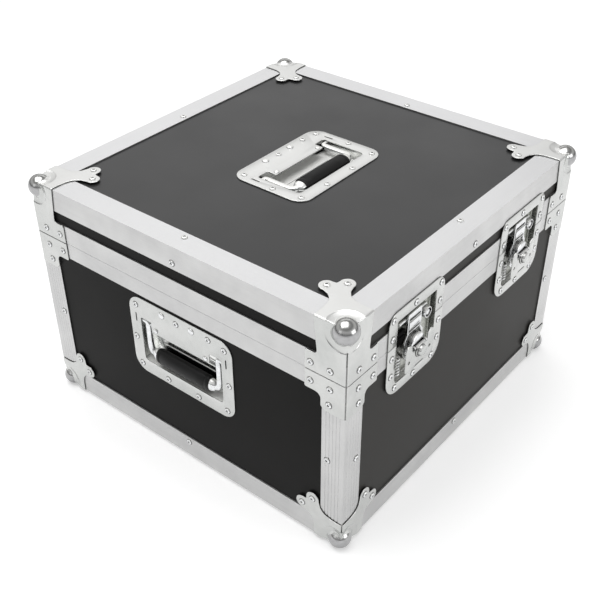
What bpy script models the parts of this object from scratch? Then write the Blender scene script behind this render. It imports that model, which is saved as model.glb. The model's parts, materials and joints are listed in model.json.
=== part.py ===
"""Hard equipment case: plywood panels in aluminium extrusions, ball corners, sprung
recessed handles, butterfly twist latches and stop hinges. Metres, +Z up. The latches
are on the -Y face, the hinges on +Y. The origin is under the middle of the case."""

import math

import bmesh
import bpy
from mathutils import Matrix, Vector

# ---- driving dimensions -------------------------------------------------------
MM = 0.001
WIDTH = 475.0            # along X, over the extrusions
DEPTH = 472.0            # along Y, over the extrusions
HEIGHT = 311.0           # underside of the bottom extrusion to the top of the lid
BALL_OUT = 5.5           # how far a ball corner stands out of each face
BALL_R = 13.5
BALL_FLAT = 0.3          # worn flat under the bottom balls, where the case stands
PARTING = 240.8          # height of the joint between base and lid
LEG = 30.0               # leg of the edge angle
WALL = 1.5               # thickness of the extrusions
GAP = 0.3                # clearance between pieces that touch
PANEL = 6.8              # plywood thickness
BASE_BAND = 21.3         # visible height of the base rim extrusion
LID_BAND = 24.7          # visible height of the lid rim extrusion
SHEET = 1.2              # pressed steel of corners, dishes and latches
END_GAP = 37.0           # the edge angles stop this far short of a corner
GROOVES = (7.0, 11.5, 16.0, 20.5, 25.0)
FLUTE = 0.45             # depth of the grooves in the uprights
SCORE = 0.04             # depth of the faint ones in the long edges

HANDLE_W = 163.0
HANDLE_H = 111.0
HANDLE_R = 19.0
DISH_DEPTH = 14.0
BAIL_AXIS = (22.0, -4.5)     # pivot in the dish: height, depth
BAIL_ARM = 44.0
BAIL_R = 3.0
SIDE_HANDLE_Z = 158.6

LATCH_X = 115.0
LATCH_W = 105.0
LATCH_UP = 43.5
LATCH_DOWN = 67.5
LATCH_OPEN = 74.0
TRAY_FLOOR = -6.8
DRUM_V = -18.0
DRUM_R = 13.0
WING_AXIS_W = 7.4

HINGE_X = 120.0
HINGE_AXIS_W = 5.7
KNUCKLE_R = 3.6

HW = WIDTH / 2
HD = DEPTH / 2
Z0 = BALL_OUT - BALL_FLAT

# ---- scene and collections ----------------------------------------------------
for old in list(bpy.data.objects):
    bpy.data.objects.remove(old, do_unlink=True)
CASE = bpy.data.collections.new("equipment_case")
CUTTERS = bpy.data.collections.new("cutters")
bpy.context.scene.collection.children.link(CASE)
bpy.context.scene.collection.children.link(CUTTERS)
CUTTERS.hide_render = True

COLOURS = {
    "panel": (0.045, 0.045, 0.045, 0.0, 0.45),
    "aluminium": (0.78, 0.78, 0.77, 1.0, 0.35),
    "zinc": (0.80, 0.81, 0.80, 1.0, 0.25),
    "steel": (0.72, 0.73, 0.74, 1.0, 0.22),
    "rubber": (0.02, 0.02, 0.02, 0.0, 0.7),
    "wood": (0.55, 0.40, 0.24, 0.0, 0.6),
}


def material(name, kind):
    red, green, blue, metal, rough = COLOURS[kind]
    made = bpy.data.materials.new(name)
    made.use_nodes = True
    shader = made.node_tree.nodes["Principled BSDF"]
    shader.inputs["Base Color"].default_value = (red, green, blue, 1.0)
    shader.inputs["Metallic"].default_value = metal
    shader.inputs["Roughness"].default_value = rough
    return made


# ---- face frames: u across, v up, w out of the face ----------------------------
def frame_of(origin, u, v, w):
    turn = Matrix((u, v, w)).transposed().to_4x4()
    return Matrix.Translation(Vector(origin) * MM) @ turn


def front_frame(x, z):
    return frame_of((x, -HD, Z0 + z), (1, 0, 0), (0, 0, 1), (0, -1, 0))


def back_frame(x, z):
    return frame_of((x, HD, Z0 + z), (-1, 0, 0), (0, 0, 1), (0, 1, 0))


def left_frame(y, z):
    return frame_of((-HW, y, Z0 + z), (0, -1, 0), (0, 0, 1), (-1, 0, 0))


def right_frame(y, z):
    return frame_of((HW, y, Z0 + z), (0, 1, 0), (0, 0, 1), (1, 0, 0))


def top_frame(x, y):
    return frame_of((x, y, Z0 + HEIGHT), (1, 0, 0), (0, 1, 0), (0, 0, 1))


WORLD = Matrix.Identity(4)


# ---- shape helpers, all in millimetres ------------------------------------------
def put(name, bm, place, kind=None):
    """A body from a bmesh in millimetres. With no kind it is a cutter or a tool."""
    bm.normal_update()
    bmesh.ops.recalc_face_normals(bm, faces=bm.faces)
    bmesh.ops.scale(bm, vec=(MM, MM, MM), verts=bm.verts)
    mesh = bpy.data.meshes.new(name)
    bm.to_mesh(mesh)
    bm.free()
    made = bpy.data.objects.new(name, mesh)
    made.matrix_world = place
    if kind is None:
        CUTTERS.objects.link(made)
        made.hide_render = True
        made.display_type = "WIRE"
    else:
        CASE.objects.link(made)
        made.data.materials.append(material(name, kind))
    return made


def box_bm(low, high, bm=None):
    bm = bm or bmesh.new()
    new = bmesh.ops.create_cube(bm, size=1.0)["verts"]
    for vert in new:
        for axis in range(3):
            middle = (low[axis] + high[axis]) / 2
            vert.co[axis] = middle + vert.co[axis] * (high[axis] - low[axis])
    return bm


def prism_bm(outline, low, high, bm=None):
    """A flat outline in u, v, thickened from w=low to w=high."""
    bm = bm or bmesh.new()
    bottom = [bm.verts.new((u, v, low)) for u, v in outline]
    top = [bm.verts.new((u, v, high)) for u, v in outline]
    bm.faces.new(bottom[::-1])
    bm.faces.new(top)
    count = len(outline)
    for i in range(count):
        j = (i + 1) % count
        bm.faces.new((bottom[i], bottom[j], top[j], top[i]))
    return bm


def cylinder_bm(centre, axis, radius, length, sides=20, bm=None):
    """A cylinder from its centre along +axis, as long as length."""
    bm = bm or bmesh.new()
    direction = Vector(axis)
    turn = direction.to_track_quat("Z", "Y").to_matrix().to_4x4()
    middle = Vector(centre) + direction * (length / 2)
    bmesh.ops.create_cone(
        bm,
        cap_ends=True,
        segments=sides,
        radius1=radius,
        radius2=radius,
        depth=length,
        matrix=Matrix.Translation(middle) @ turn,
    )
    return bm


def rounded(low, high, radii, steps=4):
    """A rectangle outline with its corners rounded: radii for LL, LR, UR, UL."""
    (u0, v0), (u1, v1) = low, high
    corners = ((u0, v0, 180), (u1, v0, 270), (u1, v1, 0), (u0, v1, 90))
    points = []
    for (u, v, start), radius in zip(corners, radii):
        if radius <= 0:
            points.append((u, v))
            continue
        cu = u + radius if u == u0 else u - radius
        cv = v + radius if v == v0 else v - radius
        for k in range(steps + 1):
            angle = math.radians(start + 90 * k / steps)
            points.append((cu + radius * math.cos(angle), cv + radius * math.sin(angle)))
    return points


def combine(target, tool, operation):
    change = target.modifiers.new(operation.lower(), "BOOLEAN")
    change.operation = operation
    change.solver = "EXACT"
    change.object = tool
    return target


def cut(target, bm, place):
    return combine(target, put("cut_" + target.name, bm, place), "DIFFERENCE")


def join(target, bm, place):
    return combine(target, put("add_" + target.name, bm, place), "UNION")


# ---- plywood panels -------------------------------------------------------------
OUT = WALL + GAP
IN = OUT + PANEL


def wall_panels():
    low = Z0 + IN + GAP
    top = Z0 + PARTING - 2.2
    x, y = HW - OUT, HD - OUT
    side_y = HD - IN - GAP
    front = box_bm((-x, -y, low), (x, -y + PANEL, top))
    back = box_bm((-x, y - PANEL, low), (x, y, top))
    left = box_bm((-x, -side_y, low), (-x + PANEL, side_y, top))
    right = box_bm((x - PANEL, -side_y, low), (x, side_y, top))
    front = put("base_front_panel", front, WORLD, "panel")
    put("base_back_panel", back, WORLD, "panel")
    left = put("base_left_panel", left, WORLD, "panel")
    right = put("base_right_panel", right, WORLD, "panel")
    floor = box_bm((-x, -y, Z0 + OUT), (x, y, Z0 + IN))
    put("base_bottom_panel", floor, WORLD, "panel")
    for side in (-1, 1):
        hole = box_bm((-41, -61, -20), (41, 20, 5))
        cut(front, hole, front_frame(side * LATCH_X, PARTING))
    hole = box_bm((-69.5, -41, -20), (69.5, 35, 5))
    cut(left, hole, left_frame(0, SIDE_HANDLE_Z))
    hole = box_bm((-69.5, -41, -20), (69.5, 35, 5))
    cut(right, hole, right_frame(0, SIDE_HANDLE_Z))


def lid_panels():
    low = Z0 + PARTING + 5.3
    top = Z0 + HEIGHT - IN - GAP
    x, y = HW - OUT, HD - OUT
    side_y = HD - IN - GAP
    front = box_bm((-x, -y, low), (x, -y + PANEL, top))
    back = box_bm((-x, y - PANEL, low), (x, y, top))
    left = box_bm((-x, -side_y, low), (-x + PANEL, side_y, top))
    right = box_bm((x - PANEL, -side_y, low), (x, side_y, top))
    front = put("lid_front_panel", front, WORLD, "panel")
    put("lid_back_panel", back, WORLD, "panel")
    put("lid_left_panel", left, WORLD, "panel")
    put("lid_right_panel", right, WORLD, "panel")
    for side in (-1, 1):
        hole = box_bm((-41, -20, -20), (41, 34, 5))
        cut(front, hole, front_frame(side * LATCH_X, PARTING))
    roof = box_bm((-x, -y, top + GAP), (x, y, top + GAP + PANEL))
    roof = put("lid_top_panel", roof, WORLD, "panel")
    cut(roof, box_bm((-69.5, -41, -20), (69.5, 35, 5)), top_frame(0, 0))


# ---- edge angles ----------------------------------------------------------------
def angle_bm(length, depth):
    """An angle along +u from 0, its outer corner on the u axis, legs along v and w."""
    shape = [(0.0, 0.0)]
    for at in GROOVES:
        shape += [(at - 0.9, 0.0), (at, depth), (at + 0.9, 0.0)]
    shape += [(LEG, 0.0), (LEG, WALL), (WALL, WALL), (WALL, LEG), (0.0, LEG)]
    for at in reversed(GROOVES):
        shape += [(0.0, at + 0.9), (depth, at), (0.0, at - 0.9)]
    bm = bmesh.new()
    start = [bm.verts.new((0.0, v, w)) for v, w in shape]
    end = [bm.verts.new((length, v, w)) for v, w in shape]
    bm.faces.new(start[::-1])
    bm.faces.new(end)
    for i in range(len(shape)):
        j = (i + 1) % len(shape)
        bm.faces.new((start[i], start[j], end[j], end[i]))
    return bm


def edge_angles():
    low, top = Z0, Z0 + HEIGHT
    long_x = WIDTH - 2 * END_GAP
    long_y = DEPTH - 2 * END_GAP
    x, y = -HW + END_GAP, -HD + END_GAP
    along_x, along_y, up = (1, 0, 0), (0, 1, 0), (0, 0, 1)
    down, right, left, front, back = (0, 0, -1), (1, 0, 0), (-1, 0, 0), (0, -1, 0), along_y
    rows = (
        ("base_edge_front", (x, -HD, low), along_x, back, up, long_x),
        ("base_edge_back", (x, HD, low), along_x, front, up, long_x),
        ("base_edge_left", (-HW, y, low), along_y, right, up, long_y),
        ("base_edge_right", (HW, y, low), along_y, left, up, long_y),
        ("lid_edge_front", (x, -HD, top), along_x, back, down, long_x),
        ("lid_edge_back", (x, HD, top), along_x, front, down, long_x),
        ("lid_edge_left", (-HW, y, top), along_y, right, down, long_y),
        ("lid_edge_right", (HW, y, top), along_y, left, down, long_y),
    )
    for name, origin, u, v, w, length in rows:
        put(name, angle_bm(length, SCORE), frame_of(origin, u, v, w), "aluminium")
    tall = PARTING - BASE_BAND - GAP - END_GAP
    for sx, sy in CORNERS:
        origin = (sx * HW, sy * HD, low + END_GAP)
        place = frame_of(origin, up, (-sx, 0, 0), (0, -sy, 0))
        name = "base_upright_" + corner_name(sx, sy)
        put(name, angle_bm(tall, FLUTE), place, "aluminium")


CORNERS = ((-1, -1), (1, -1), (-1, 1), (1, 1))


def corner_name(sx, sy):
    return ("front_" if sy < 0 else "back_") + ("left" if sx < 0 else "right")


# ---- rim extrusions ---------------------------------------------------------------
def ring(name, profile):
    """A closed profile of (inset, height) run round the four mitred walls."""
    bm = bmesh.new()
    loops = []
    for sx, sy in ((-1, -1), (1, -1), (1, 1), (-1, 1)):
        loop = []
        for inset, height in profile:
            spot = (sx * (HW - inset), sy * (HD - inset), Z0 + PARTING + height)
            loop.append(bm.verts.new(spot))
        loops.append(loop)
    count = len(profile)
    for k in range(4):
        a, b = loops[k], loops[(k + 1) % 4]
        for i in range(count):
            j = (i + 1) % count
            bm.faces.new((a[i], b[i], b[j], a[j]))
    return put(name, bm, WORLD, "aluminium")


def rims():
    inner = IN + GAP
    base = [(0, -BASE_BAND), (0, -0.15), (4.0, -0.15), (4.4, 3.0), (5.6, 3.0)]
    base += [(6.0, -0.15), (inner + WALL, -0.15), (inner + WALL, -12.0), (inner, -12.0)]
    base += [(inner, -1.9), (WALL, -1.9), (WALL, -BASE_BAND)]
    base = ring("base_rim", base)
    lid = [(0, LID_BAND), (0, 0.15), (3.5, 0.15), (3.9, 3.5), (6.1, 3.5), (6.5, 0.15)]
    lid += [(inner + WALL, 0.15), (inner + WALL, 14.0), (inner, 14.0), (inner, 5.0)]
    lid += [(WALL, 5.0), (WALL, LID_BAND)]
    lid = ring("lid_rim", lid)
    for side in (-1, 1):
        place = front_frame(side * LATCH_X, PARTING)
        cut(base, box_bm((-41, -30, -8.35), (41, 10, 5)), place)
        cut(lid, box_bm((-41, -10, -8.35), (41, 32, 5)), place)


# ---- ball and brace corners --------------------------------------------------------
def arc(centre, radius, start, end, steps):
    points = []
    for k in range(steps + 1):
        angle = math.radians(start + (end - start) * k / steps)
        points.append((centre[0] + radius * math.cos(angle), centre[1] + radius * math.sin(angle)))
    return points


def lobed(edge, far, near):
    """A corner plate with two round lobes, its outer corner at the origin."""
    half = [(-SHEET - GAP, edge), (near * 0.30, edge), (near * 0.50, edge + 1.5)]
    half += [(near * 0.66, edge + 4.5), (near - 10.5, far - 9.0)]
    half += arc((near, far), 8.8, 188, -8, 6)
    other = [(b, a) for a, b in reversed(half)]
    middle = (near + far) / 2 + 2.0
    return [(-SHEET - GAP, -SHEET - GAP)] + half + [(middle, middle)] + other


SKIN = -SHEET - GAP


def mirrored(bm, sx, sy, top):
    """Corner coordinates, inward from the corner, to the case frame."""
    for vert in bm.verts:
        a, b, c = vert.co
        z = Z0 + HEIGHT - c if top else Z0 + c
        vert.co = (sx * (HW - a), sy * (HD - b), z)
    return bm


def plate_bm(outline, face, bm=None):
    """A plate 0.3 mm off one of the three faces: its outline in the other two axes."""
    bm = bm or bmesh.new()
    order = {"x": (2, 0, 1), "y": (0, 2, 1), "z": (0, 1, 2)}[face]
    outer, inner = [], []
    for p, q in outline:
        for level, side in ((SKIN, outer), (-GAP, inner)):
            values = (p, q, level)
            spot = [values[order[k]] for k in range(3)]
            side.append(bm.verts.new(spot))
    bm.faces.new(outer)
    bm.faces.new(inner[::-1])
    for i in range(len(outline)):
        j = (i + 1) % len(outline)
        bm.faces.new((outer[i], outer[j], inner[j], inner[i]))
    return bm


def ball_corner(name, sx, sy, top):
    wing = lobed(41.0, 60.5, 45.5) if top else lobed(38.0, 55.0, 40.5)
    if top:
        side = [(SKIN, SKIN), (41, SKIN), (36.5, 42), (39, 45.5), (52, 45.5)]
        side += [(52, HEIGHT - PARTING - 0.4), (SKIN, HEIGHT - PARTING - 0.4)]
    else:
        side = wing
    body = put(name, mirrored(plate_bm(wing, "z"), sx, sy, top), WORLD, "zinc")
    join(body, mirrored(plate_bm(side, "x"), sx, sy, top), WORLD)
    join(body, mirrored(plate_bm(side, "y"), sx, sy, top), WORLD)
    inset = BALL_R - BALL_OUT
    cut(body, mirrored(box_bm((-9,) * 3, (inset,) * 3), sx, sy, top), WORLD)
    ball = bmesh.new()
    bmesh.ops.create_uvsphere(ball, u_segments=20, v_segments=12, radius=BALL_R)
    bmesh.ops.translate(ball, vec=(inset, inset, inset), verts=ball.verts)
    join(body, mirrored(ball, sx, sy, top), WORLD)
    room = box_bm((-GAP, -GAP, -GAP), (90, 90, 90))
    cut(body, mirrored(room, sx, sy, top), WORLD)
    if not top:
        foot = box_bm((-20, -20, -20), (40, 40, -Z0))
        cut(body, mirrored(foot, sx, sy, top), WORLD)


def brace_corner(name, sx, sy):
    """Below the joint: a wing along the rim and a short leg down each upright."""
    depth = HEIGHT - PARTING
    side = [(SKIN, depth + 0.4), (52, depth + 0.4), (52, depth + 24.4), (36, depth + 24.4)]
    side += [(31, depth + 28), (31, depth + 40), (26, depth + 45), (SKIN, depth + 45)]
    body = put(name, mirrored(plate_bm(side, "x"), sx, sy, True), WORLD, "zinc")
    join(body, mirrored(plate_bm(side, "y"), sx, sy, True), WORLD)


def corners():
    for sx, sy in CORNERS:
        ball_corner("lid_ball_corner_" + corner_name(sx, sy), sx, sy, True)
        ball_corner("base_ball_corner_" + corner_name(sx, sy), sx, sy, False)
        brace_corner("brace_corner_" + corner_name(sx, sy), sx, sy)


# ---- handles ------------------------------------------------------------------------
def handle(side, place):
    """A recessed handle: pressed dish, swinging steel bail and rubber grip."""
    flange = rounded(
        (-HANDLE_W / 2, -HANDLE_H / 2), (HANDLE_W / 2, HANDLE_H / 2), (HANDLE_R,) * 4, 5
    )
    dish = put("handle_dish_" + side, prism_bm(flange, -1.5, -0.3), place, "zinc")
    tray = rounded((-67.2, -39.2), (67.2, 33.2), (7, 7, 3, 3), 2)
    join(dish, prism_bm(tray, -DISH_DEPTH - 2.7, -1.0), place)
    hollow = rounded((-66, -38), (66, 32), (6, 6, 2, 2), 2)
    cut(dish, prism_bm(hollow, -DISH_DEPTH - 1.5, -1.5), place)
    mouth = [(-64, -33), (-60, -37), (60, -37), (64, -33), (64, 27), (46, 27)]
    mouth += [(46, 13), (-46, 13), (-46, 27), (-64, 27)]
    cut(dish, prism_bm(mouth, -3.0, 1.0), place)
    v, w = BAIL_AXIS
    w = w - 0.3
    cut(dish, cylinder_bm((-69, v, w), (1, 0, 0), BAIL_R + 0.4, 138, 12), place)

    axis = place @ Matrix.Translation(Vector((0, v, w)) * MM)
    path = [(-67.8, 0.0), (-58.0, 0.0), (-55.8, -0.8), (-55.0, -3.0)]
    path += [(-55.0, -BAIL_ARM + 3), (-54.2, -BAIL_ARM + 0.8), (-52.0, -BAIL_ARM)]
    path += [(-u, v2) for u, v2 in reversed(path)]
    put("handle_bail_" + side, tube_bm(path, BAIL_R, 10), axis, "steel")
    section = []
    for k in range(16):
        angle = 2 * math.pi * k / 16
        section.append((-BAIL_ARM + 12.0 * math.cos(angle), 7.9 * math.sin(angle)))
    hole = []
    for k in range(16):
        angle = 2 * math.pi * k / 16
        reach = BAIL_R + 0.35
        hole.append((-BAIL_ARM + reach * math.cos(angle), reach * math.sin(angle)))
    bm = bmesh.new()
    rings = []
    for u in (-48.5, 48.5):
        outer = [bm.verts.new((u, p, q)) for p, q in section]
        inner = [bm.verts.new((u, p, q)) for p, q in hole]
        rings.append((outer, inner))
    for i in range(16):
        j = (i + 1) % 16
        for outer, inner in rings:
            bm.faces.new((outer[i], outer[j], inner[j], inner[i]))
        bm.faces.new((rings[0][0][i], rings[0][0][j], rings[1][0][j], rings[1][0][i]))
        bm.faces.new((rings[0][1][i], rings[0][1][j], rings[1][1][j], rings[1][1][i]))
    put("handle_grip_" + side, bm, axis, "rubber")


def tube_bm(path, radius, sides):
    """A round bar along a flat path in u, v at w = 0, with square mitres."""
    bm = bmesh.new()
    rings = []
    for i, (u, v) in enumerate(path):
        before = path[max(i - 1, 0)]
        after = path[min(i + 1, len(path) - 1)]
        ahead = Vector((after[0] - u, after[1] - v))
        behind = Vector((u - before[0], v - before[1]))
        ahead = ahead.normalized() if ahead.length else behind.normalized()
        behind = behind.normalized() if behind.length else ahead
        along = (ahead + behind).normalized()
        across = Vector((-along.y, along.x)) / max(along.dot(ahead), 0.5)
        loop = []
        for k in range(sides):
            angle = 2 * math.pi * (k + 0.5) / sides
            off = across * (radius * math.cos(angle))
            loop.append(bm.verts.new((u + off.x, v + off.y, radius * math.sin(angle))))
        rings.append(loop)
    for a, b in zip(rings, rings[1:]):
        for k in range(sides):
            j = (k + 1) % sides
            bm.faces.new((a[k], a[j], b[j], b[k]))
    bm.faces.new(rings[0])
    bm.faces.new(rings[-1])
    return bm


def handles():
    handle("left", left_frame(0, SIDE_HANDLE_Z))
    handle("right", right_frame(0, SIDE_HANDLE_Z))
    handle("top", top_frame(0, 0))


# ---- latches -------------------------------------------------------------------------
def latch(side, x):
    place = front_frame(x, PARTING)
    half = LATCH_W / 2
    opening = LATCH_OPEN / 2
    lower = rounded((-half, -LATCH_DOWN), (half, -0.4), (22, 22, 0, 0), 5)
    dish = put("latch_dish_" + side, prism_bm(lower, 0.3, 1.5), place, "zinc")
    tray = rounded((-opening - 1.2, -56.2), (opening + 1.2, -0.4), (9, 9, 0, 0), 3)
    join(dish, prism_bm(tray, -8.0, 1.0), place)
    hollow = rounded((-opening, -55), (opening, 5), (8, 8, 0, 0), 3)
    cut(dish, prism_bm(hollow, TRAY_FLOOR, 3.0), place)

    upper = rounded((-half, 0.4), (half, LATCH_UP), (0, 0, 14, 14), 4)
    keeper = put("latch_keeper_" + side, prism_bm(upper, 0.3, 1.5), place, "zinc")
    tray = rounded((-opening - 1.2, 0.4), (opening + 1.2, 31.4), (0, 0, 3, 3), 2)
    join(keeper, prism_bm(tray, -8.0, 1.0), place)
    hollow = rounded((-opening, -5), (opening, 30.2), (0, 0, 2, 2), 2)
    cut(keeper, prism_bm(hollow, TRAY_FLOOR, 3.0), place)
    join(keeper, box_bm((-26, 14.5, TRAY_FLOOR - 0.4), (26, 18.0, -3.2)), place)

    centre = place @ Matrix.Translation(Vector((0, DRUM_V, 0)) * MM)
    drum = cylinder_bm((0, 0, TRAY_FLOOR + GAP), (0, 0, 1), DRUM_R, 12.0, 28)
    drum = put("latch_cam_" + side, drum, centre, "steel")
    for u in (-12.0, 9.4):
        join(drum, box_bm((u, -1.8, 5.0), (u + 2.6, 1.8, 9.0)), centre)
    join(drum, cylinder_bm((-11, 0, WING_AXIS_W), (1, 0, 0), 0.8, 22, 10), centre)

    pivot = centre @ Matrix.Translation(Vector((0, 0, WING_AXIS_W)) * MM)
    outline = [(-8.8, -2.8), (-13.5, -3.3), (-15.2, 5.0), (-18.4, 7.8), (-20.5, 9.3)]
    outline += [(-23.5, 8.6), (-26.5, 5.0), (-27, -21), (-25, -26), (-20, -28.2)]
    outline += [(-12.5, -28.5), (-7, -24.0)]
    other = [(-u, v) for u, v in reversed(outline)]
    wing = outline + other
    blade = prism_bm(wing, -0.6, 0.6)
    blade = put("latch_wing_" + side, blade, pivot, "zinc")
    join(blade, cylinder_bm((-8.8, 0, 0), (1, 0, 0), 1.8, 17.6, 12), pivot)
    join(blade, box_bm((-8.8, -3.0, -0.6), (8.8, 0.0, 0.6)), pivot)
    cut(blade, cylinder_bm((-10, 0, 0), (1, 0, 0), 1.15, 20, 12), pivot)

    # The hook plate hangs on the drum by a long window and reaches up past the bar.
    plate = [(-17.5, -8)] + arc((0, -7), 17.5, 180, 360, 8)[1:-1] + [(17.5, -8)]
    plate += [(17.5, 8), (13, 13), (13, 39.0), (10, 41), (-10, 41), (-13, 39.0), (-13, 13)]
    plate += [(-17.5, 8)]
    hook = put("latch_hook_" + side, prism_bm(plate, -2.7, -0.9), centre, "steel")
    window = arc((0, -6.5), DRUM_R + 0.4, 180, 360, 10) + arc((0, 0), DRUM_R + 0.4, 0, 180, 10)
    cut(hook, prism_bm(window, -5, 2), centre)


def latches():
    latch("left", -LATCH_X)
    latch("right", LATCH_X)


# ---- stop hinges ----------------------------------------------------------------------
def hinge(side, x):
    place = back_frame(x, PARTING)
    axis = HINGE_AXIS_W
    base = prism_bm(rounded((-30, -20.5), (30, -4.0), (5, 5, 0, 0), 3), 0.3, 1.5)
    base = put("hinge_base_leaf_" + side, base, place, "zinc")
    lid = prism_bm(rounded((-30, 4.0), (30, 22.5), (0, 0, 5, 5), 3), 0.3, 1.5)
    lid = put("hinge_lid_leaf_" + side, lid, place, "zinc")
    for u in (-24.0, 10.0):
        join(base, box_bm((u, -5.0, 0.3), (u + 14.0, 0.0, 3.5)), place)
        join(base, cylinder_bm((u, 0, axis), (1, 0, 0), KNUCKLE_R, 14.0, 14), place)
    join(base, cylinder_bm((-20, 0, axis), (1, 0, 0), 1.4, 40, 10), place)
    join(lid, box_bm((-9.6, 0.0, 0.3), (9.6, 5.0, 3.5)), place)
    join(lid, cylinder_bm((-9.6, 0, axis), (1, 0, 0), KNUCKLE_R, 19.2, 14), place)
    cut(lid, cylinder_bm((-12, 0, axis), (1, 0, 0), 1.8, 24, 12), place)


def hinges():
    hinge("left", -HINGE_X)
    hinge("right", HINGE_X)


wall_panels()
lid_panels()
edge_angles()
rims()
corners()
handles()
latches()
hinges()
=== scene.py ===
"""Looks for the hard equipment case: finer pressed hardware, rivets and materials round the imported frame."""

import json
import math

import bmesh
import bpy
from mathutils import Matrix, Vector

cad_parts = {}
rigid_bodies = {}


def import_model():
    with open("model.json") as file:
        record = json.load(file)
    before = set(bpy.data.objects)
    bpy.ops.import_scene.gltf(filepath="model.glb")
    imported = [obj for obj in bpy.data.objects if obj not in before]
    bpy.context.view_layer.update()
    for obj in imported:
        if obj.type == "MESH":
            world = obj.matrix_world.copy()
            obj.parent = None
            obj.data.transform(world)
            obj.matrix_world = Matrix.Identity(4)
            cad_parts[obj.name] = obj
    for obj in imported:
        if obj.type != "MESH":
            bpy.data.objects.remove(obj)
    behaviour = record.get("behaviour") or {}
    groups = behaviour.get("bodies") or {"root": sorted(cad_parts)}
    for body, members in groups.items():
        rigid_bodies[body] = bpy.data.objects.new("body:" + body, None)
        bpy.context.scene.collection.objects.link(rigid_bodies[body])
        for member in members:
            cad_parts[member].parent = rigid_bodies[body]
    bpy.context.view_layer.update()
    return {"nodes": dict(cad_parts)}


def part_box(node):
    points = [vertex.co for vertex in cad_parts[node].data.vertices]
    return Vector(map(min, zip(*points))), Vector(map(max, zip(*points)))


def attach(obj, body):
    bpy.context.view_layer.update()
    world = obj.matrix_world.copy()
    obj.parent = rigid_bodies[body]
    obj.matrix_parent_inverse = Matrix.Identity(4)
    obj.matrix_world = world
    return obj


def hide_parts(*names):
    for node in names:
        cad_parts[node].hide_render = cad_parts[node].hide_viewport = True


for old in list(bpy.data.objects):
    bpy.data.objects.remove(old, do_unlink=True)
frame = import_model()
NODES = frame["nodes"]

# ---- sizes in millimetres, from the frame ---------------------------------------
MM = 0.001
HALF_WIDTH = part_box("base_rim")[1][0] / MM   # over the edging
HALF_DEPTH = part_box("base_rim")[1][1] / MM
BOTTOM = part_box("base_edge_front")[0][2] / MM
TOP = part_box("lid_edge_front")[1][2] / MM
RIM_GAP = 0.3                            # between the rims of the lid and the base
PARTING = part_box("lid_rim")[0][2] / MM - RIM_GAP / 2
SIDE_HANDLE_Z = sum(v[2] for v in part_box("handle_dish_left")) / 2 / MM
LATCH_X = sum(v[0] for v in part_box("latch_dish_right")) / 2 / MM
HINGE_X = sum(v[0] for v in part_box("hinge_base_leaf_left")) / 2 / MM
RIM_BAND = 21.3                          # height of the base's rim below the joint
SKIN = 1.5                               # outer face of the pressed plates
LIFT = 0.3                               # gap between a plate and what it lies on
EDGE_RIVET = 22.0                        # how far the rivets lie in from the case's edges
CORNERS = ((-1, -1), (1, -1), (-1, 1), (1, 1))


# ---- face frames: u across, v up, w out -------------------------------------------
def frame_of(origin, u, v, w):
    turn = Matrix((u, v, w)).transposed().to_4x4()
    return Matrix.Translation(Vector(origin)) @ turn


def front_frame(x, z):
    return frame_of((x, -HALF_DEPTH, z), (1, 0, 0), (0, 0, 1), (0, -1, 0))


def back_frame(x, z):
    return frame_of((x, HALF_DEPTH, z), (-1, 0, 0), (0, 0, 1), (0, 1, 0))


def left_frame(y, z):
    return frame_of((-HALF_WIDTH, y, z), (0, -1, 0), (0, 0, 1), (-1, 0, 0))


def right_frame(y, z):
    return frame_of((HALF_WIDTH, y, z), (0, 1, 0), (0, 0, 1), (1, 0, 0))


def top_frame(x, y):
    return frame_of((x, y, TOP), (1, 0, 0), (0, 1, 0), (0, 0, 1))


def bottom_frame(x, y):
    return frame_of((x, y, BOTTOM), (1, 0, 0), (0, -1, 0), (0, 0, -1))


WORLD = Matrix.Identity(4)


def shift(place, u, v, w=0.0):
    return place @ Matrix.Translation((u, v, w))


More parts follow.
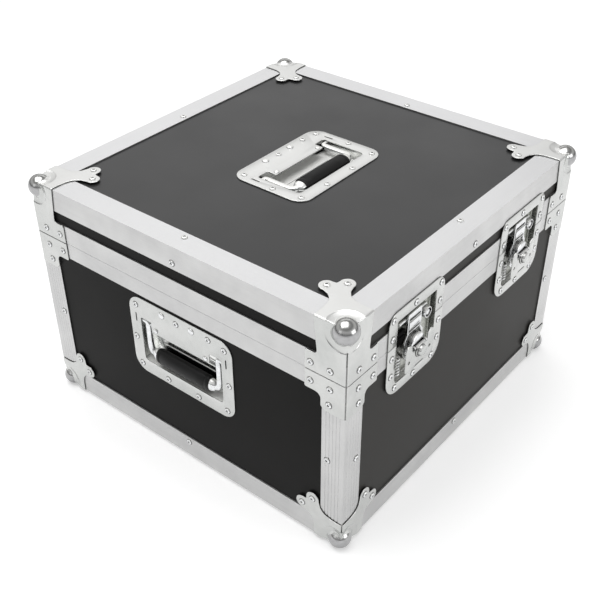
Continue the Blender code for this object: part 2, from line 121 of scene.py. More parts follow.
# ---- materials ----------------------------------------------------------------------
class Nodes:
    """A short way to write a node tree."""

    def __init__(self, name):
        self.material = bpy.data.materials.new(name)
        self.material.use_nodes = True
        self.tree = self.material.node_tree
        self.shader = self.tree.nodes["Principled BSDF"]
        texture = self.tree.nodes.new("ShaderNodeTexCoord")
        self.coords = texture.outputs["Object"]
        self.normal = texture.outputs["Normal"]

    def add(self, kind, inputs=None, **settings):
        node = self.tree.nodes.new("ShaderNode" + kind)
        for key, value in settings.items():
            setattr(node, key, value)
        for key, value in (inputs or {}).items():
            if isinstance(value, bpy.types.NodeSocket):
                self.tree.links.new(value, node.inputs[key])
            else:
                node.inputs[key].default_value = value
        return node

    def stretched(self, scale):
        mapping = self.add("Mapping", {"Vector": self.coords})
        mapping.inputs["Scale"].default_value = scale
        return mapping.outputs["Vector"]

    def noise(self, scale, detail=4.0, rough=0.5, vector=None):
        made = self.add(
            "TexNoise",
            {"Vector": vector or self.coords, "Scale": scale, "Detail": detail, "Roughness": rough},
        )
        return made.outputs["Fac"]

    def ramp(self, value, low, high, to_low=0.0, to_high=1.0):
        made = self.add(
            "MapRange",
            {"Value": value, "From Min": low, "From Max": high, "To Min": to_low, "To Max": to_high},
        )
        return made.outputs["Result"]

    def up(self):
        """1 on faces that look up, 0 on upright ones."""
        parts = self.add("SeparateXYZ", {"Vector": self.normal})
        return self.ramp(parts.outputs["Z"], 0.3, 0.8)

    def painted_crease_shade(self, base, reach=0.006, least=0.22):
        """The colour darkened where surfaces crowd together: painted shade in creases and hollows."""
        occlusion = self.add("AmbientOcclusion", {"Distance": reach}, samples=6).outputs["AO"]
        keep = self.ramp(occlusion, 0.35, 0.88, least, 1.0)
        return self.mix(keep, (0.03, 0.03, 0.028, 1), base)

    def x_facing_shade_mask(self):
        """1 on faces that look along x, 0 on the others: the mask for painted shade on those faces."""
        parts = self.add("SeparateXYZ", {"Vector": self.normal})
        return self.ramp(self.math("ABSOLUTE", parts.outputs["X"], 0.0), 0.3, 0.8)

    def mix(self, factor, one, two):
        made = self.add("Mix", data_type="RGBA")
        for socket, value in ((made.inputs["Factor"], factor), (made.inputs[6], one), (made.inputs[7], two)):
            if isinstance(value, bpy.types.NodeSocket):
                self.tree.links.new(value, socket)
            else:
                socket.default_value = value
        return made.outputs[2]

    def math(self, operation, one, two=0.0):
        return self.add("Math", {0: one, 1: two}, operation=operation).outputs[0]

    def bump(self, height, strength, distance, normal=None):
        inputs = {"Height": height, "Strength": strength, "Distance": distance}
        if normal is not None:
            inputs["Normal"] = normal
        return self.add("Bump", inputs).outputs["Normal"]

    def link(self, value, socket):
        self.tree.links.new(value, self.shader.inputs[socket])

    def set(self, **values):
        for key, value in values.items():
            self.shader.inputs[key.replace("_", " ")].default_value = value


def laminate_material():
    """Black phenolic laminate: a fine pebbled skin, uneven sheen, faint dust all over, and painted light and
    shade by facing: tops take a tone of their own and faces that look along x are painted darker.
    """
    n = Nodes("laminate")
    n.set(IOR=1.5)
    grain = n.add("TexVoronoi", {"Vector": n.coords, "Scale": 900.0}, feature="SMOOTH_F1").outputs["Distance"]
    fine = n.noise(2600.0, 2.0)
    cloud = n.noise(9.0, 3.0, 0.55)
    dust = n.ramp(n.noise(420.0, 5.0, 0.7), 0.62, 0.80)
    up = n.up()
    side = n.mix(n.ramp(cloud, 0.3, 0.7), (0.029, 0.0282, 0.0265, 1), (0.033, 0.032, 0.030, 1))
    # faces that look along x painted darker: painted shade
    side = n.mix(n.x_facing_shade_mask(), side, (0.009, 0.0088, 0.0085, 1))
    # faces that look up take a tone of their own: painted light and shade by facing
    base = n.mix(up, side, (0.011, 0.011, 0.0115, 1))
    base = n.mix(n.math("MULTIPLY", dust, 0.06), base, (0.16, 0.155, 0.15, 1))
    n.link(base, "Base Color")
    n.link(n.ramp(up, 0.0, 1.0, 0.05, 0.68), "Specular IOR Level")
    n.link(n.ramp(cloud, 0.3, 0.7, 0.32, 0.40), "Roughness")
    height = n.math("ADD", n.math("MULTIPLY", grain, 0.8), n.math("MULTIPLY", fine, 0.4))
    n.link(n.bump(height, 0.15, 0.00010), "Normal")
    return n.material


def aluminium_material(axis, rough, brush, seed):
    """Satin aluminium: brushed streaks along the part, soft blotches, fine scratches, and a lighter tone on
    faces that look up as painted light.
    """
    streak = 0.05
    dull = (0.50, 0.50, 0.50, 1)
    n = Nodes("aluminium_" + axis)
    n.set(Metallic=1.0)
    lines = n.noise(1.0, 3.0, 0.6, n.stretched(brush))
    blotch = n.noise(14.0 + seed, 4.0, 0.6)
    marks = n.ramp(n.noise(1.0, 2.0, 0.5, n.stretched((260.0, 900.0, 60.0))), 0.66, 0.70)
    base = n.mix(n.ramp(blotch, 0.35, 0.65), (0.57, 0.57, 0.567, 1), dull)
    base = n.mix(n.math("MULTIPLY", n.ramp(lines, 0.35, 0.65), 0.25), base, dull)
    # faces that look up take a lighter tone: painted light
    base = n.mix(n.up(), base, (0.84, 0.84, 0.845, 1))
    n.link(base, "Base Color")
    value = n.ramp(lines, 0.3, 0.7, rough - streak, rough + streak)
    value = n.math("ADD", value, n.ramp(blotch, 0.3, 0.7, -0.03, 0.03))
    n.link(n.math("ADD", value, n.math("MULTIPLY", marks, 0.06)), "Roughness")
    n.link(n.bump(lines, 0.10, 0.00006), "Normal")
    return n.material


def zinc_material():
    """Bright zinc plate: faint spangle and a slightly wavy pressed surface."""
    n = Nodes("zinc")
    n.set(Metallic=1.0)
    spangle = n.add("TexVoronoi", {"Vector": n.coords, "Scale": 160.0}).outputs["Color"]
    tone = n.add("RGBToBW", {"Color": spangle}).outputs["Val"]
    blotch = n.noise(22.0, 4.0, 0.6)
    base = n.mix(n.ramp(blotch, 0.35, 0.68), (0.56, 0.565, 0.555, 1), (0.49, 0.50, 0.49, 1))
    base = n.mix(n.math("MULTIPLY", tone, 0.10), base, (0.84, 0.85, 0.84, 1))
    # faces that look up take a lighter tone: painted light
    base = n.mix(n.math("MULTIPLY", n.up(), 0.9), base, (0.90, 0.90, 0.885, 1))
    # darkened in creases and hollows: painted shade
    n.link(n.painted_crease_shade(base), "Base Color")
    rough = n.ramp(blotch, 0.3, 0.7, 0.13, 0.20)
    rough = n.math("ADD", rough, n.math("MULTIPLY", n.up(), 0.20))
    n.link(n.math("ADD", rough, n.math("MULTIPLY", tone, 0.03)), "Roughness")
    wave = n.noise(38.0, 1.0, 0.4)
    n.link(n.bump(wave, 0.22, 0.0010), "Normal")
    return n.material


def polished_material(name, colour, rough, satin=1.0, top=0.96, rougher=0.34, reach=0.006):
    """Polished plate: a mirror with faint waviness and fine wear.

    What looks up takes the tone top as painted light, is rougher by that much, and is metallic only as far as
    satin says.
    """
    n = Nodes(name)
    n.set(Metallic=1.0)
    wear = n.noise(180.0, 5.0, 0.65)
    base = n.mix(n.ramp(wear, 0.4, 0.7), colour, tuple(0.8 * part for part in colour[:3]) + (1,))
    # the tone top on faces that look up is painted light, and creases are darkened as painted shade
    n.link(n.painted_crease_shade(n.mix(n.up(), base, (top, top, top * 0.975, 1)), reach), "Base Color")
    n.link(n.ramp(n.up(), 0.0, 1.0, 1.0, satin), "Metallic")
    value = n.ramp(wear, 0.35, 0.75, rough, rough + 0.10)
    n.link(n.math("ADD", value, n.math("MULTIPLY", n.up(), rougher)), "Roughness")
    n.link(n.bump(n.noise(45.0, 2.0), 0.10, 0.0008), "Normal")
    return n.material


def rubber_material():
    """Moulded black rubber with fine ribs of texture and a matt bloom."""
    n = Nodes("rubber")
    n.set(IOR=1.5, Specular_IOR_Level=0.22)
    bloom = n.noise(30.0, 4.0, 0.6)
    n.link(n.mix(n.ramp(bloom, 0.35, 0.7), (0.004, 0.004, 0.004, 1), (0.009, 0.009, 0.009, 1)), "Base Color")
    n.link(n.ramp(bloom, 0.3, 0.7, 0.42, 0.55), "Roughness")
    grain = n.noise(1500.0, 2.0)
    n.link(n.bump(grain, 0.25, 0.00015), "Normal")
    return n.material


def painted_shade_material():
    # Near-black sheets where gaps and hollows are in shade: painted shade.
    n = Nodes("painted_shade_gap")
    cloud = n.noise(80.0, 3.0)
    n.link(n.mix(cloud, (0.002, 0.002, 0.002, 1), (0.005, 0.005, 0.005, 1)), "Base Color")
    n.set(Specular_IOR_Level=0.05)
    n.link(n.ramp(cloud, 0.0, 1.0, 0.7, 0.9), "Roughness")
    return n.material


LAMINATE = laminate_material()
ALUMINIUM = {
    axis: aluminium_material(axis, rough, brush, seed)
    for axis, rough, brush, seed in (
        ("x", 0.36, (12.0, 1400.0, 1400.0), 0.0),
        ("y", 0.36, (1400.0, 12.0, 1400.0), 1.0),
        ("z", 0.20, (1400.0, 1400.0, 12.0), 2.0),
    )
}
ZINC = zinc_material()
# The ball: darker than the zinc it is pressed with, as painted shade for its dark reflections; top lightens
# its upper part as painted light, and the long reach spreads painted shade round its foot.
BALL = polished_material("polished_ball", (0.42, 0.42, 0.425, 1), 0.16, top=0.50, rougher=0.0, reach=0.018)
STEEL = polished_material("polished_steel", (0.78, 0.79, 0.80, 1), 0.12)
# The tray: faces that look up are less metallic so that they read brighter: painted light.
TRAY = polished_material("polished_tray", (0.90, 0.91, 0.89, 1), 0.16, satin=0.35)
# The pocket: a darker tone than the zinc plate round it: painted shade in the recess.
POCKET = polished_material("latch_pocket", (0.42, 0.43, 0.40, 1), 0.22)
# Dark discs round rivet heads and the latch knob: painted shadow lines.
PAINTED_SHADOW_LINE = polished_material("rivet_ring", (0.13, 0.13, 0.125, 1), 0.35)
RUBBER = rubber_material()
PAINTED_SHADE_FILL = painted_shade_material()


# ---- mesh helpers -------------------------------------------------------------------
def finish_mesh(name, mesh, place, paint, body, crease=35.0, replaces=()):
    """A mesh in millimetres becomes a piece of the case in metres."""
    mesh.transform(Matrix.Scale(MM, 4) @ place)
    if place.determinant() < 0:
        mesh.flip_normals()
    mesh.materials.clear()
    mesh.materials.append(paint)
    for face in mesh.polygons:
        face.use_smooth = True
    mesh.set_sharp_from_angle(angle=math.radians(crease))
    made = bpy.data.objects.new(name, mesh)
    bpy.context.scene.collection.objects.link(made)
    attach(made, body)
    if replaces:
        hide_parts(*replaces)


def mesh_as_is(bm):
    mesh = bpy.data.meshes.new("shape")
    bm.to_mesh(mesh)
    bm.free()
    return mesh


def mesh_of(bm):
    """A closed shape as a mesh, with its faces turned outwards."""
    bm.normal_update()
    bmesh.ops.recalc_face_normals(bm, faces=bm.faces)
    return mesh_as_is(bm)


def evaluated(obj):
    """The object's mesh with its modifiers applied; the object goes."""
    graph = bpy.context.evaluated_depsgraph_get()
    graph.update()
    mesh = bpy.data.meshes.new_from_object(obj.evaluated_get(graph))
    bpy.data.objects.remove(obj, do_unlink=True)
    return mesh


def link(data):
    """An object in the scene that holds a mesh or a curve while it is worked on."""
    made = bpy.data.objects.new("tool", data)
    bpy.context.scene.collection.objects.link(made)
    return made


def arc(centre, radius, start, end, steps):
    """Points along an arc between two angles in degrees."""
    points = []
    for k in range(steps + 1):
        angle = math.radians(start + (end - start) * k / steps)
        points.append((centre[0] + radius * math.cos(angle), centre[1] + radius * math.sin(angle)))
    return points


def rounded(low, high, radii, steps):
    """A rectangle outline with rounded corners, from the lower left one round by the lower right."""
    (u0, v0), (u1, v1) = low, high
    points = []
    corners_and_starts = ((u0, v0, 180), (u1, v0, 270), (u1, v1, 0), (u0, v1, 90))
    for (u, v, start), radius in zip(corners_and_starts, radii):
        if radius <= 0:
            points.append((u, v))
            continue
        cu = u + radius if u == u0 else u - radius
        cv = v + radius if v == v0 else v - radius
        points += arc((cu, cv), radius, start, start + 90, steps)
    return points


def circle(centre, radius, steps):
    return arc(centre, radius, 0, 360 - 360 / steps, steps - 1)


def signed_area(outline):
    total = 0.0
    for (a, b), (c, d) in zip(outline, outline[1:] + outline[:1]):
        total += a * d - c * b
    return total / 2


def inset(outline, by):
    """The outline moved inwards by a small distance, corner by corner."""
    side = 1.0 if signed_area(outline) > 0 else -1.0
    count = len(outline)
    moved = []
    for i in range(count):
        before, here, after = outline[i - 1], outline[i], outline[(i + 1) % count]
        a = Vector((here[0] - before[0], here[1] - before[1])).normalized()
        b = Vector((after[0] - here[0], after[1] - here[1])).normalized()
        normal = Vector((-a.y - b.y, a.x + b.x))
        if normal.length < 1e-6:
            normal = Vector((-a.y, a.x))
        normal.normalize()
        reach = by / max(normal.dot(Vector((-a.y, a.x))), 0.35)  # a sharp corner's point stays near
        moved.append((here[0] + side * normal.x * reach, here[1] + side * normal.y * reach))
    return moved


def strip(bm, a, b):
    """Faces between two rings of points."""
    for i in range(len(a)):
        j = (i + 1) % len(a)
        bm.faces.new((a[i], a[j], b[j], b[i]))


def plate(outline, low, high, soft, holes=()):
    """Sheet metal: an outline with rounded edges at the front, and holes with pressed-in rims."""
    bm = bmesh.new()

    def loop(points, w):
        return [bm.verts.new((u, v, w)) for u, v in points]

    fronts, backs = [], []
    halfway = 0.29 * soft                # a rounded edge's middle point, in from the sharp edge
    for points, sign in [(outline, 1.0)] + [(hole, -1.0) for hole in holes]:
        steps = ((0.0, high - soft), (halfway, high - halfway), (soft, high))
        rings = [loop(points, low)]
        for move, w in steps:
            rings.append(loop(inset(points, sign * move) if move else points, w))
        for a, b in zip(rings, rings[1:]):
            strip(bm, a, b)
        fronts.append(rings[-1])
        backs.append(rings[0])
    for loops in (fronts, backs):
        edges = []
        for ring in loops:
            edges += [bm.edges.get(ends) for ends in zip(ring, ring[1:] + ring[:1])]
        bmesh.ops.triangle_fill(bm, use_beauty=True, use_dissolve=False, edges=edges)
    return mesh_of(bm)


def loft(rings, close_first=False, close_last=False):
    """Rings of points in u, v, w joined one to the next."""
    bm = bmesh.new()
    made = [[bm.verts.new(point) for point in ring] for ring in rings]
    for a, b in zip(made, made[1:]):
        strip(bm, a, b)
    if close_first:
        bm.faces.new(made[0][::-1])
    if close_last:
        bm.faces.new(made[-1])
    return mesh_of(bm)


def turned(profile, steps):
    """A turned piece about w from (radius, w) points, closed at both ends."""
    rings = []
    for radius, w in profile:
        ring = []
        for k in range(steps):
            angle = 2 * math.pi * k / steps
            ring.append((radius * math.cos(angle), radius * math.sin(angle), w))
        rings.append(ring)
    return loft(rings, True, True)


def merged(meshes):
    """Several meshes as one."""
    bm = bmesh.new()
    for mesh in meshes:
        bm.from_mesh(mesh)
        bpy.data.meshes.remove(mesh)
    return mesh_as_is(bm)


def copy_of(mesh, place):
    made = mesh.copy()
    made.transform(place)
    if place.determinant() < 0:
        made.flip_normals()
    return made


def solidified(mesh, thickness):
    """An open skin made into sheet metal that grows out along its normals."""
    tool = link(mesh)
    change = tool.modifiers.new("thick", "SOLIDIFY")
    change.thickness = thickness
    change.offset = 1.0
    return evaluated(tool)


# ---- rivets ----------------------------------------------------------------------------
def pop_rivet():
    """A domed blind rivet with its drawn mandrel hole."""
    profile = [(3.7, 0.0), (3.7, 0.45), (3.45, 0.95), (2.7, 1.4)]
    profile += [(1.75, 1.55), (1.5, 1.3), (1.35, 0.45), (0.01, 0.4)]
    return turned(profile, RIVET_STEPS)


def solid_rivet(radius):
    """A plain low-domed rivet head on a short rim."""
    rim, dome = 0.3, 0.38 * radius
    profile = [(radius, 0.0), (radius, rim)]
    profile += [(radius * math.cos(a), rim + dome * math.sin(a)) for a in (0.4, 0.8, 1.2)]
    return turned(profile + [(0.01, rim + dome)], RIVET_STEPS)


def disc(radius, low, thick, steps):
    return turned([(radius, low), (radius, low + thick), (0.01, low + thick)], steps)


RIVET_STEPS = 18
RIVET = pop_rivet()
# A dark disc under each rivet head: a painted shadow line.
RIVET_SHADOW_DISC = disc(4.3, 0.0, 0.14, RIVET_STEPS)
rivets = {}                              # body: the rivet heads on it
rings = {}                               # body: the dark discs under them, painted shadow lines


def head(body, mesh, place):
    rivets.setdefault(body, []).append(copy_of(mesh, place))


def rivet(body, place, u, v, w):
    """A rivet, and a dark disc under its head: a painted shadow line round it."""
    head(body, RIVET, shift(place, u, v, w))
    rings.setdefault(body, []).append(copy_of(RIVET_SHADOW_DISC, shift(place, u, v, w)))


# ---- corners: worked out in distances inwards from the corner of the case ---------------
BASE_BALL = ((8.0, 8.0, 8.0), 13.5)      # middle and radius
LID_BALL = ((7.6, 7.6, 9.0), 13.9)
DISH, DISH_DEEP = 9.0, 2.1               # the pressed ring round the foot of a ball
BRACE_RIVETS = ((19.0, -13.0), (44.0, -13.0), (20.0, -34.0))
LID_RIVETS = ((19.0, 11.0), (44.0, 11.0))
LID_LOBES = ((45.5, 60.5), (60.5, 45.5))
BASE_LOBES = ((40.5, 55.0), (55.0, 40.5))


def lobed(edge, near, far):
    """A plate's outline that ends in two round lobes, each with its rivet at (near, far) or (far, near)."""
    half = [(-SKIN, edge), (near * 0.18, edge), (near * 0.32, edge + 0.2), (near * 0.46, edge + 1.0)]
    half += [(near * 0.58, edge + 2.7), (near * 0.67, edge + 5.4)]
    half += [(near - 11.0, far - 9.0), (near - 9.8, far - 5.0)]
    half += arc((near, far), 8.8, 188, -8, 14)
    other = [(b, a) for a, b in reversed(half)]
    middle = (near + far) / 2 + 2.0
    return [(-SKIN, -SKIN)] + half + [(middle, middle)] + other


def corner_plate(outline, face):
    """A flat plate of the corner, square to the axis that face names."""
    order = {"x": (2, 0, 1), "y": (0, 2, 1), "z": (0, 1, 2)}[face]
    bm = bmesh.new()
    outer, inner = [], []
    for p, q in outline:
        for level, side in ((-SKIN, outer), (-LIFT, inner)):
            values = (p, q, level)
            side.append(bm.verts.new([values[order[k]] for k in range(3)]))
    bm.faces.new(outer)
    bm.faces.new(inner[::-1])
    strip(bm, outer, inner)
    return mesh_of(bm)


def block(low, high):
    bm = bmesh.new()
    for vert in bmesh.ops.create_cube(bm, size=1.0)["verts"]:
        for axis in range(3):
            middle = (low[axis] + high[axis]) / 2
            vert.co[axis] = middle + vert.co[axis] * (high[axis] - low[axis])
    return mesh_of(bm)


def boolean(target, tool_mesh, operation):
    tool = link(tool_mesh)
    change = target.modifiers.new(operation, "BOOLEAN")
    change.operation = operation
    change.solver = "EXACT"
    change.object = tool
    mesh = evaluated(target)
    bpy.data.objects.remove(tool, do_unlink=True)
    return link(mesh)


def collar(mesh, ball):
    """Presses a dished ring round the foot of the ball and softens its edges."""
    centre, radius = ball
    body = link(mesh)
    group = body.vertex_groups.new(name="collar")
    for vert in body.data.vertices:
        away = (vert.co - Vector(centre)).length - radius
        proud = max(-vert.co.x, -vert.co.y, -vert.co.z) - SKIN
        if away < 0.4 and proud > -0.2:
            weight = 1.0 - (proud - 0.1) / 0.7
        elif away < 0.4:
            weight = 0.0
        else:
            weight = min(1.0, (11.0 - away) / 3.0)
            if away < DISH:
                push = DISH_DEEP * (1 - away / DISH) ** 0.6
                vert.co += Vector((push,) * 3)
        if weight > 0:
            group.add([vert.index], min(weight, 1.0), "REPLACE")
    change = body.modifiers.new("collar", "SMOOTH")
    change.vertex_group = "collar"
    change.factor = 0.5
    change.iterations = 24
    return evaluated(body)


def clear_of(ball, point):
    """0 on the ball and 1 away from it."""
    if ball is None:
        return 1.0
    centre, radius = ball
    return min(max(((point - Vector(centre)).length - radius - 1.0) / 5.0, 0.0), 1.0)


def fold(mesh, ball):
    """Rounds the folds of a corner plate, away from its ball, and opens the seam down the upright one."""
    radius, small = 4.0, 2.2             # of the upright fold and of the level ones
    seam, seam_half = 1.5, 0.7           # depth and half width
    for vert in mesh.vertices:
        clear = clear_of(ball, vert.co)
        for i, k, middle in ((0, 1, radius - SKIN), (0, 2, small - SKIN), (1, 2, small - SKIN)):
            a, b = vert.co[i] - middle, vert.co[k] - middle
            if a >= 0 or b >= 0:
                continue
            reach = max(-a, -b)
            scale = 1 + (reach / math.hypot(a, b) - 1) * clear
            if k == 1 and reach > radius - seam_half:
                across = (math.atan2(-b, -a) - math.pi / 4) * radius
                scale -= clear * seam / reach * math.exp(-((across / seam_half) ** 2))
            vert.co[i], vert.co[k] = middle + a * scale, middle + b * scale


def sphere(centre, radius, subdivisions):
    bm = bmesh.new()
    bmesh.ops.create_icosphere(bm, subdivisions=subdivisions, radius=radius)
    bmesh.ops.translate(bm, vec=centre, verts=bm.verts)
    return bm


def ball_shell(ball):
    """The outer part of the ball as a true sphere, laid over the pressed sheet."""
    centre, radius = ball
    bm = sphere(centre, radius + 0.1, 4)
    inner = [vert for vert in bm.verts if min(vert.co) > 0]
    bmesh.ops.delete(bm, geom=inner, context="VERTS")
    return mesh_as_is(bm)


def on_floor(mesh):
    """Flattens what would reach below the floor under the base."""
    for vert in mesh.vertices:
        vert.co.z = max(vert.co.z, -BOTTOM + 0.02)
    return mesh


def pressed_corner(side_outline, z_outline=None, ball=None):
    """A corner pressed from one sheet: its plates run softly into the ball, where it has one."""
    body = link(corner_plate(side_outline, "x"))
    body = boolean(body, corner_plate(side_outline, "y"), "UNION")
    if ball:
        body = boolean(body, corner_plate(z_outline, "z"), "UNION")
        # The ball takes the place of the plates' own corner, and nothing stays inside the case's faces.
        body = boolean(body, block((-9,) * 3, ball[0]), "DIFFERENCE")
        body = boolean(body, mesh_of(sphere(*ball, 5)), "UNION")
        body = boolean(body, block((-LIFT,) * 3, (90,) * 3), "DIFFERENCE")
    remesh = body.modifiers.new("skin", "REMESH")
    remesh.mode = "VOXEL"
    remesh.voxel_size = 0.4
    remesh.use_smooth_shade = True
    smooth = body.modifiers.new("soft", "SMOOTH")
    smooth.factor = 0.5
    smooth.iterations = 3
    mesh = evaluated(body)
    if ball:
        mesh = collar(mesh, ball)
    fold(mesh, ball)
    body = link(mesh)
    thin = body.modifiers.new("thin", "DECIMATE")
    thin.ratio = 0.09
    return evaluated(body)


def corner_place(sx, sy, top):
    """From distances inwards from one of the case's corners to its own frame."""
    place = Matrix.Diagonal((-sx, -sy, -1.0 if top else 1.0, 1.0))
    place.translation = (sx * HALF_WIDTH, sy * HALF_DEPTH, TOP if top else BOTTOM)
    return place


def corner_name(sx, sy):
    return ("front_" if sy < 0 else "back_") + ("left" if sx < 0 else "right")


def side_frames(sx, sy):
    """The two upright faces at a corner: a frame, where the corner is on it, and which way u runs inwards."""
    x_face, x_in = (left_frame, sy) if sx < 0 else (right_frame, -sy)
    y_face, y_in = (front_frame, -sx) if sy < 0 else (back_frame, sx)
    return (x_face, sy * HALF_DEPTH, x_in), (y_face, sx * HALF_WIDTH, y_in)


def corner_rivets(sx, sy):
    for make, edge, inward in side_frames(sx, sy):
        joint = make(edge, PARTING)
        for away, up in LID_RIVETS:
            rivet("lid", joint, inward * away, up, SKIN)
        for away, up in BRACE_RIVETS:
            rivet("base", joint, inward * away, up, SKIN)
        for away, up in BASE_LOBES:
            rivet("base", make(edge, BOTTOM), inward * away, up, SKIN)
    for make, body, lobes in ((top_frame, "lid", LID_LOBES), (bottom_frame, "base", BASE_LOBES)):
        for away, along in lobes:
            rivet(body, make(sx * (HALF_WIDTH - away), sy * (HALF_DEPTH - along)), 0, 0, SKIN)


def lid_leg(depth):
    """The lid corner's outline on a side, down to the joint."""
    points = [(-SKIN, -SKIN), (41, -SKIN), (41, 2), (36.4, 41)]
    points += arc((40.4, 41.4), 4, 180, 90, 5)[1:] + [(49, 45.4)]
    return points + arc((49, 48), 3, -90, 0, 4) + [(52, depth - 0.4), (-SKIN, depth - 0.4)]


def brace_leg(depth):
    """The outline on a side of the brace, from the joint down."""
    points = [(-SKIN, depth + 0.4), (52, depth + 0.4), (52, depth + 22)]
    points += arc((49.5, depth + 22), 2.5, 0, 90, 4) + [(38, depth + 24.4)]
    points += arc((38, depth + 31.4), 7, 270, 180, 5) + [(31, depth + 40), (26, depth + 45)]
    return points + [(-SKIN, depth + 45)]


def corners():
    depth = TOP - PARTING
    lid_mesh = pressed_corner(lid_leg(depth), lobed(41.0, *LID_LOBES[0]), LID_BALL)
    base_wing = lobed(38.0, *BASE_LOBES[0])
    base_mesh = on_floor(pressed_corner(base_wing, base_wing, BASE_BALL))
    brace_mesh = pressed_corner(brace_leg(depth))
    for sx, sy in CORNERS:
        name = corner_name(sx, sy)
        lid_place, base_place = corner_place(sx, sy, True), corner_place(sx, sy, False)
        node = "lid_ball_corner_" + name
        finish_mesh("lid_corner_" + name, lid_mesh.copy(), lid_place, ZINC, "lid", 50, (node,))
        finish_mesh("lid_ball_" + name, ball_shell(LID_BALL), lid_place, BALL, "lid", 60)
        node = "brace_corner_" + name
        finish_mesh("brace_" + name, brace_mesh.copy(), lid_place, ZINC, "base", 50, (node,))
        node = "base_ball_corner_" + name
        finish_mesh("base_corner_" + name, base_mesh.copy(), base_place, ZINC, "base", 50, (node,))
        shell = on_floor(ball_shell(BASE_BALL))
        finish_mesh("base_ball_" + name, shell, base_place, BALL, "base", 60)
        corner_rivets(sx, sy)


# ---- handles ------------------------------------------------------------------------
FLANGE = (81.5, 55.5)                    # half width and half height
FLANGE_R = 19.0
MOUTH = (64.0, 27.0, -37.0)              # half width, top and bottom
TONGUE = (46.0, 13.0)                    # half width and lower end
AXIS_V, AXIS_W = 22.0, -4.8              # the line the bail swings on
ARM = 44.0                               # from that line to the middle of the grip
FLOOR_W = -15.5
TRAY_HALF, TRAY_LOW, TRAY_HIGH = 65.4, -37.8, 31.8
TRAY_BEND = 3.2
FLANGE_RIVETS = (
    (-70, -44.5), (70, -44.5), (-70, 43.5), (70, 43.5), (-74.5, -5), (74.5, -5),
    (-26, -48.5), (24, -48.5), (-4, 45), (46, 47),
)


def mouth_outline():
    """The opening in the flange: square slots for the arms either side of a broad tongue."""
    u, top, low = MOUTH
    tu, tv = TONGUE
    points = arc((-u + 6, low + 6), 6, 180, 270, 6) + arc((u - 6, low + 6), 6, 270, 360, 6)
    points += arc((u - 2.5, top - 2.5), 2.5, 0, 90, 4) + arc((tu + 2, top - 2), 2, 90, 180, 3)
    points += arc((tu - 3, tv + 3), 3, 360, 270, 5) + arc((-tu + 3, tv + 3), 3, 270, 180, 5)
    points += arc((-tu - 2, top - 2), 2, 0, 90, 3) + arc((-u + 2.5, top - 2.5), 2.5, 90, 180, 4)
    return points


def handle_flange():
    """The pressed front plate: its opening and a slit beyond each end of the pin."""
    wide, high = FLANGE
    flange = rounded((-wide, -high), (wide, high), (FLANGE_R,) * 4, 10)
    slits = [rounded((u - 0.8, 18), (u + 0.8, 31), (0.79,) * 4, 3) for u in (-71.5, 71.5)]
    return plate(flange, -1.5, -LIFT, 0.45, [mouth_outline()] + slits)


def handle_tray():
    """The dish behind the opening: straight walls bent round into a flat floor."""
    bend_w = FLOOR_W + TRAY_BEND
    walls = []
    for grow, w in ((0.2, -1.6), (0.0, bend_w)):
        low, high = (-TRAY_HALF - grow, TRAY_LOW - grow), (TRAY_HALF + grow, TRAY_HIGH + grow)
        walls.append((low, high, 6, w))
    for angle in (0.4, 0.8, 1.2, math.pi / 2):
        back = TRAY_BEND * (1 - math.cos(angle))
        low, high = (-TRAY_HALF + back, TRAY_LOW + back), (TRAY_HALF - back, TRAY_HIGH - back)
        walls.append((low, high, max(6 - back, 2.9), bend_w - TRAY_BEND * math.sin(angle)))
    rings = [[(u, v, w) for u, v in rounded(low, high, (radius,) * 4, 6)] for low, high, radius, w in walls]
    tray = loft(rings, False, True)
    for face in tray.polygons:
        face.use_smooth = True
    tray.flip_normals()
    return solidified(tray, 1.0)


def handle_ribs():
    """Three long ribs pressed up from the dish's floor."""
    ribs = []
    for v, half in ((-11.0, 44.0), (-3.0, 46.0), (5.0, 44.0)):
        outline = rounded((-half, v - 1.6), (half, v + 1.6), (1.59,) * 4, 4)
        ribs.append(plate(outline, FLOOR_W - 0.2, FLOOR_W + 1.9, 0.9))
    return merged(ribs)


def handle(side, place, owner, bail_body):
    node = "handle_dish_" + side
    finish_mesh("handle_plate_" + side, handle_flange(), place, ZINC, owner, 32, (node,))
    finish_mesh("handle_tray_" + side, handle_tray(), place, TRAY, owner, 50)
    # near-black sheets behind the ends of the pin's slots: painted shade
    for number, u in ((0, -62.5), (2, 46.5)):
        gap = plate(rounded((u, 24.0), (u + 16.0, 31.0), (2,) * 4, 3), -13.5, -9.0, 0.4)
        finish_mesh("handle_pivot_gap_%s_%d" % (side, number), gap, place, PAINTED_SHADE_FILL, owner)
    finish_mesh("handle_ribs_" + side, handle_ribs(), place, TRAY, owner, 50)

    for u in (-40, 40):
        head(owner, solid_rivet(3.2), shift(place, u, 17.5, -LIFT))
    for u, v in FLANGE_RIVETS:
        rivet(owner, place, u, v, -LIFT)
    for u in (-27, 20):
        head(owner, solid_rivet(4.4), shift(place, u, 46.5, -LIFT))

    axis = shift(place, 0, AXIS_V, AXIS_W)
    bail(side, axis, bail_body)
    grip(side, axis, bail_body)


def strap(path, half_width, half_thick):
    """A bar of superellipse section along a path of points, each with its share of the widths."""
    steps, squareness = 10, 0.6
    rings = []
    for i, (point, wide, thick) in enumerate(path):
        here = Vector(point)
        before = Vector(path[max(i - 1, 0)][0])
        after = Vector(path[min(i + 1, len(path) - 1)][0])
        out = Vector((0, 0, 1))
        across = (after - before).normalized().cross(out).normalized()
        ring = []
        for k in range(steps * 2):
            angle = math.pi * k / steps
            c, s = math.cos(angle), math.sin(angle)
            c = math.copysign(abs(c) ** squareness, c)
            s = math.copysign(abs(s) ** squareness, s)
            ring.append(tuple(here + across * (half_width * wide * c) + out * (half_thick * thick * s)))
        rings.append(ring)
    return loft(rings, True, True)


